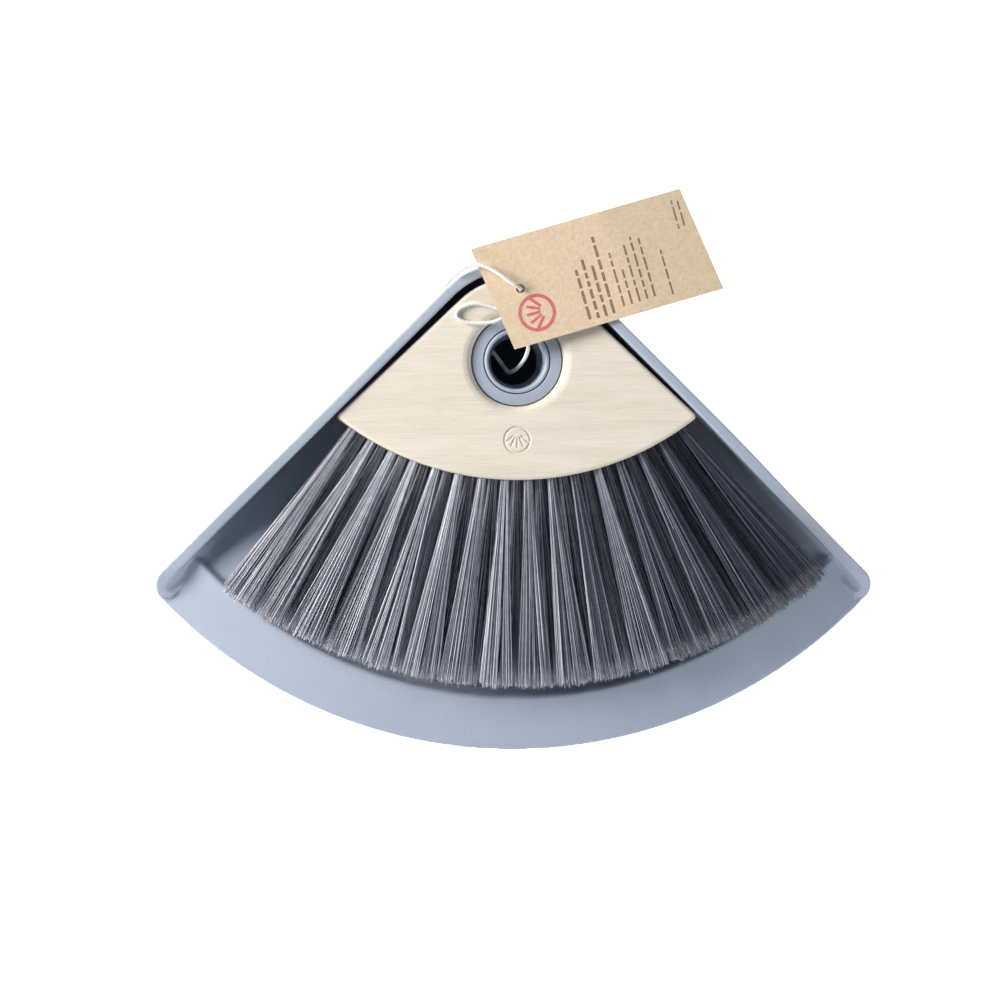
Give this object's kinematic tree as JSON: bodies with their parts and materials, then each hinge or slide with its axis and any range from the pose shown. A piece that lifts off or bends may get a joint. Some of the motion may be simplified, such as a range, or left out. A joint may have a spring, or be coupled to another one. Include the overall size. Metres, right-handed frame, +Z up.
{
  "type": "dust pan and brush set",
  "caption": "Fan-shaped dust pan with a hollow hub and a sector-shaped wooden brush that nests over it, with rows of bristle tufts and a card tag on a string.",
  "frame": {"origin": "ground level, midway along the pan's width and depth", "axes": "+Z up, +Y towards the pan's rounded back, -Y towards its front lip, +X to the right when looking from the lip"},
  "size_m": [0.35, 0.2736, 0.0515],
  "materials": {
    "pan_plastic": "satin",
    "beech": "bare, sanded",
    "bristle": "satin filaments",
    "card": "uncoated kraft",
    "cotton": "twisted string"
  },
  "bodies": {
    "pan": {"pan_shell": "pan_plastic"},
    "brush": {"brush_block": "beech", "hub_grommet": "pan_plastic", "tuft_upper_01": "bristle", "tuft_upper_02": "bristle", "tuft_upper_03": "bristle", "tuft_upper_04": "bristle", "tuft_upper_05": "bristle", "tuft_upper_06": "bristle", "tuft_upper_07": "bristle", "tuft_upper_08": "bristle", "tuft_upper_09": "bristle", "tuft_upper_10": "bristle", "tuft_upper_11": "bristle", "tuft_upper_12": "bristle", "tuft_upper_13": "bristle", "tuft_upper_14": "bristle", "tuft_upper_15": "bristle", "tuft_upper_16": "bristle", "tuft_middle_01": "bristle", "tuft_middle_02": "bristle", "tuft_middle_03": "bristle", "tuft_middle_04": "bristle", "tuft_middle_05": "bristle", "tuft_middle_06": "bristle", "tuft_middle_07": "bristle", "tuft_middle_08": "bristle", "tuft_middle_09": "bristle", "tuft_middle_10": "bristle", "tuft_middle_11": "bristle", "tuft_middle_12": "bristle", "tuft_middle_13": "bristle", "tuft_middle_14": "bristle", "tuft_middle_15": "bristle", "tuft_lower_01": "bristle", "tuft_lower_02": "bristle", "tuft_lower_03": "bristle", "tuft_lower_04": "bristle", "tuft_lower_05": "bristle", "tuft_lower_06": "bristle", "tuft_lower_07": "bristle", "tuft_lower_08": "bristle", "tuft_lower_09": "bristle", "tuft_lower_10": "bristle", "tuft_lower_11": "bristle", "tuft_lower_12": "bristle", "tuft_lower_13": "bristle", "tuft_lower_14": "bristle", "tuft_lower_15": "bristle", "tuft_lower_16": "bristle", "string_knot": "cotton", "string_bow": "cotton", "tag_string": "cotton"},
    "tag": {"hang_tag": "card"}
  },
  "joints": [
    {"name": "brush_lift", "type": "slide", "parent": "pan", "child": "brush", "axis": [0, 0, 1], "range_m": [0, 0.06], "deforming": ["tag_string"]},
    {"name": "tag_turn", "type": "hinge", "parent": "brush", "child": "tag", "pos_m": [0.0012, 0.1052, 0.0458], "axis": [0, 0, 1], "range_deg": [-10, 10]}
  ]
}
